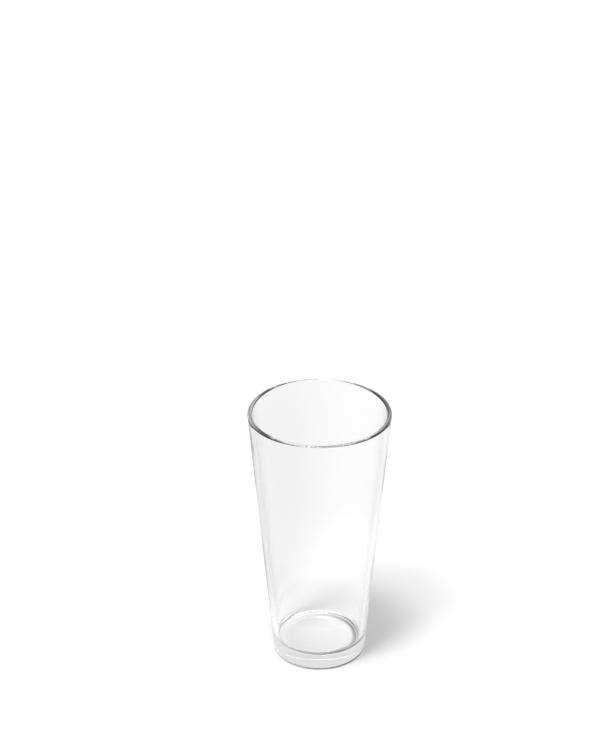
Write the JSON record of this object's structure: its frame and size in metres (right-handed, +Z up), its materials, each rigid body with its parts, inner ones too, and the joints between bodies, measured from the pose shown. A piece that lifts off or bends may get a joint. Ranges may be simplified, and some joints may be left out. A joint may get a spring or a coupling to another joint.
{
  "type": "flared glass vase",
  "caption": "Tall clear glass vase with a straight wall that flares from a thick solid base to a wide open mouth, for holding cut flowers in water.",
  "frame": {"origin": "centre of the foot, in the plane that the vase stands on", "axes": "+Z up along the vase's turning axis, out of its mouth; the vase is the same all round, so +X and +Y are free choices"},
  "size_m": [0.1262, 0.1262, 0.245],
  "materials": {
    "clear_glass": "clear soda-lime glass, fire polished, very slightly wavy, with a fine-ground ring under the foot"
  },
  "bodies": {
    "root": {"vase_glass": "clear_glass"}
  },
  "joints": []
}
